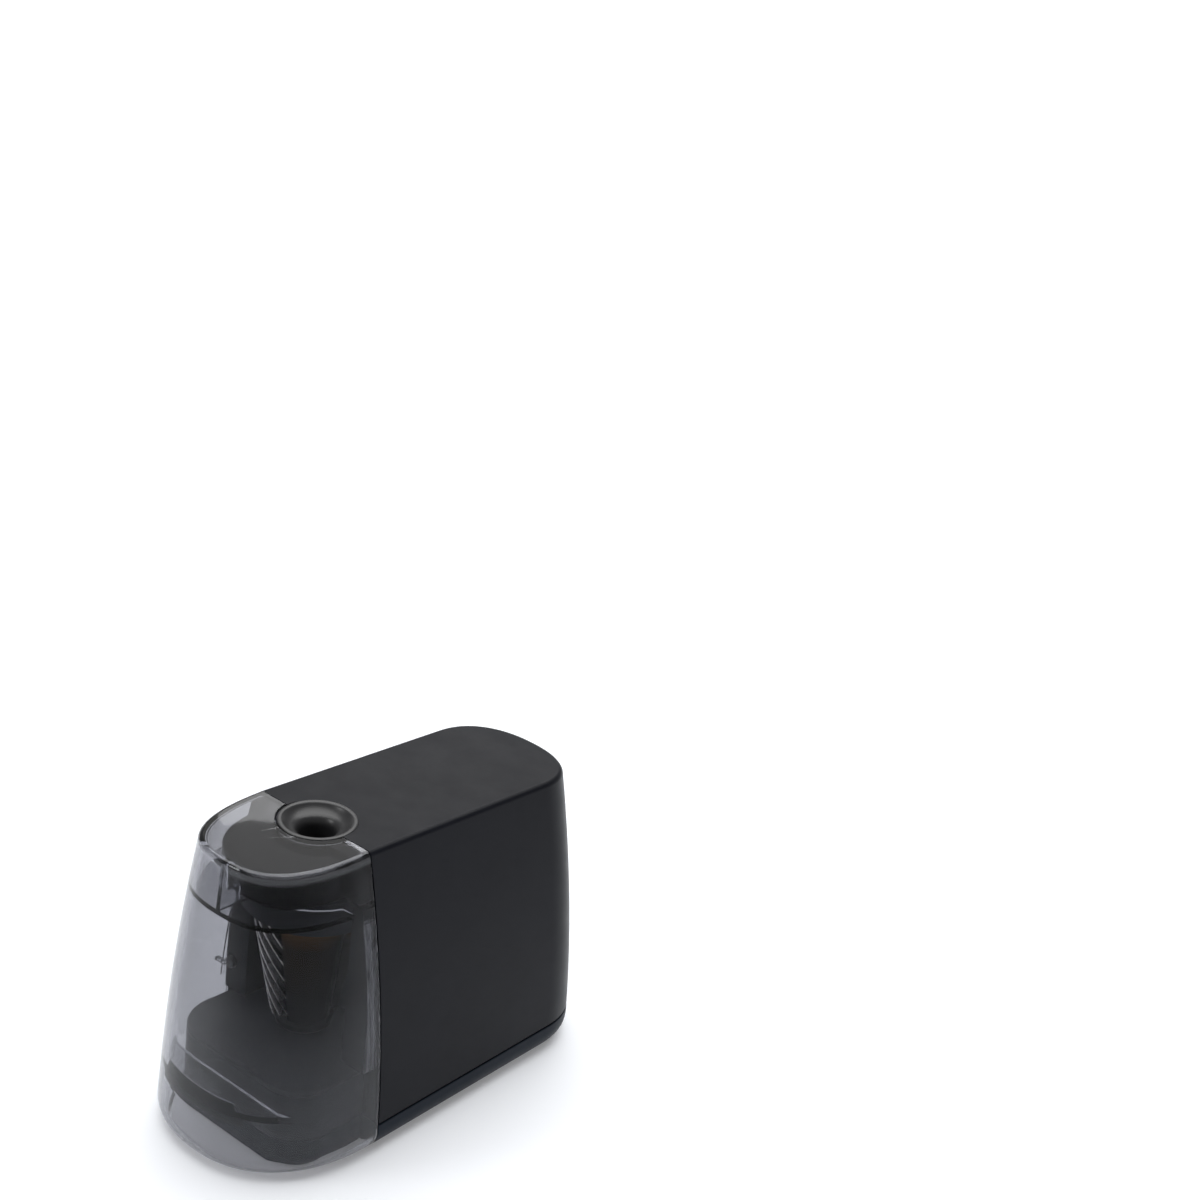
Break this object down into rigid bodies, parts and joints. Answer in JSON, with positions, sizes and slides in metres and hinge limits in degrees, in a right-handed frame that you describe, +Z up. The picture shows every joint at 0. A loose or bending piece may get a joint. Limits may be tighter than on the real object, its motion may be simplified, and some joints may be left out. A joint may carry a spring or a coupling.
{
  "type": "battery pencil sharpener",
  "caption": "Battery pencil sharpener with a drafted charcoal case, a clear slide-off shavings receptacle and a geared helical cutter under a top pencil entry.",
  "frame": {"origin": "centre of the footprint's bounding box, on the table", "axes": "+Z up along the pencil entry, -Y towards the clear receptacle, +X to the right seen from the front"},
  "size_m": [0.0568, 0.1154, 0.0777],
  "materials": {
    "smoke_clear": "clear smoke-tinted moulded plastic, polished outside",
    "case_plastic": "fine spark-eroded charcoal plastic with a slight sheen",
    "base_plastic": "charcoal plastic, slightly smoother than the case",
    "black_plastic": "polished black plastic",
    "inner_plastic": "plain black engineering plastic",
    "gear_plastic": "unfilled white acetal",
    "carrier_plastic": "dark brown glass-filled nylon",
    "cutter_steel": "ground and hardened tool steel",
    "pin_steel": "drawn steel wire and turned pins",
    "can_steel": "zinc-plated deep-drawn steel",
    "core_steel": "stacked electrical steel and dark ferrite",
    "copper": "enamelled copper wire and copper segments",
    "brass": "stamped brass",
    "contact_steel": "nickel-plated spring steel",
    "cell_jacket": "plain two-tone cell jacket with bare ends",
    "wire_red": "red insulated hook-up wire",
    "wire_black": "black insulated hook-up wire",
    "screw_steel": "zinc-plated self-tapping screws",
    "rubber": "soft black rubber",
    "button_plastic": "ivory acetal"
  },
  "bodies": {
    "case": {"upper_case": "case_plastic", "base_plate": "base_plastic", "front_bulkhead": "case_plastic", "switch_housing": "inner_plastic", "front_deck": "inner_plastic", "gear_frame": "inner_plastic", "head_cover": "black_plastic", "ring_gear": "gear_plastic", "pencil_guide": "black_plastic", "motor_can": "can_steel", "motor_end_cap": "gear_plastic", "motor_magnets": "core_steel", "motor_terminals": "brass", "idler_pin": "pin_steel", "battery_tray": "inner_plastic", "cell_1": "cell_jacket", "cell_2": "cell_jacket", "cell_3": "cell_jacket", "cell_4": "cell_jacket", "contact_plates": "contact_steel", "contact_springs": "contact_steel", "start_switch": "inner_plastic", "plunger_spring": "contact_steel", "interlock_switch": "inner_plastic", "wire_red": "wire_red", "wire_black": "wire_black", "case_screws": "screw_steel", "frame_screws": "screw_steel", "rubber_feet": "rubber"},
    "receptacle": {"receptacle": "smoke_clear"},
    "battery_door": {"battery_door": "base_plastic"},
    "rotor": {"motor_shaft": "pin_steel", "armature_core": "core_steel", "armature_windings": "copper", "commutator": "copper", "motor_pinion": "gear_plastic"},
    "idler": {"idler_gear": "gear_plastic"},
    "carrier": {"carrier": "carrier_plastic", "carrier_gear": "gear_plastic", "cutter_pin": "pin_steel", "thrust_washer": "pin_steel"},
    "cutter": {"cutter": "cutter_steel", "cutter_pinion": "brass"},
    "start_plunger": {"start_plunger": "button_plastic"},
    "interlock_plunger": {"interlock_plunger": "button_plastic"}
  },
  "joints": [
    {"name": "receptacle_slide", "type": "slide", "parent": "case", "child": "receptacle", "axis": [0, -1, 0], "range_m": [0, 0.045]},
    {"name": "battery_door_slide", "type": "slide", "parent": "case", "child": "battery_door", "axis": [0, 1, 0], "range_m": [0, 0.065]},
    {"name": "motor_spin", "type": "hinge", "parent": "case", "child": "rotor", "pos_m": [0, 0.00334, 0.05], "axis": [0, 0, 1], "continuous": true},
    {"name": "idler_spin", "type": "hinge", "parent": "case", "child": "idler", "pos_m": [0, -0.00726, 0.07], "axis": [0, 0, 1], "continuous": true},
    {"name": "carrier_spin", "type": "hinge", "parent": "case", "child": "carrier", "pos_m": [0, -0.02296, 0.045], "axis": [0, 0, 1], "continuous": true},
    {"name": "cutter_spin", "type": "hinge", "parent": "carrier", "child": "cutter", "pos_m": [-0.00262, -0.02609, 0.026], "axis": [-0.1282, -0.1527, 0.9799], "continuous": true},
    {"name": "start_press", "type": "slide", "parent": "case", "child": "start_plunger", "axis": [0, 0, -1], "range_m": [0, 0.0015], "stiffness_N_per_m": 300, "springref_m": -0.0005, "deforming": ["plunger_spring"]},
    {"name": "interlock_press", "type": "slide", "parent": "case", "child": "interlock_plunger", "axis": [0, 1, 0], "range_m": [0, 0.001], "stiffness_N_per_m": 200, "springref_m": -0.0005}
  ],
  "couplings": [
    {"joint": "idler_spin", "follows": "motor_spin", "ratio": -0.3125},
    {"joint": "carrier_spin", "follows": "motor_spin", "ratio": 0.09375},
    {"joint": "cutter_spin", "follows": "motor_spin", "ratio": -0.51562}
  ]
}
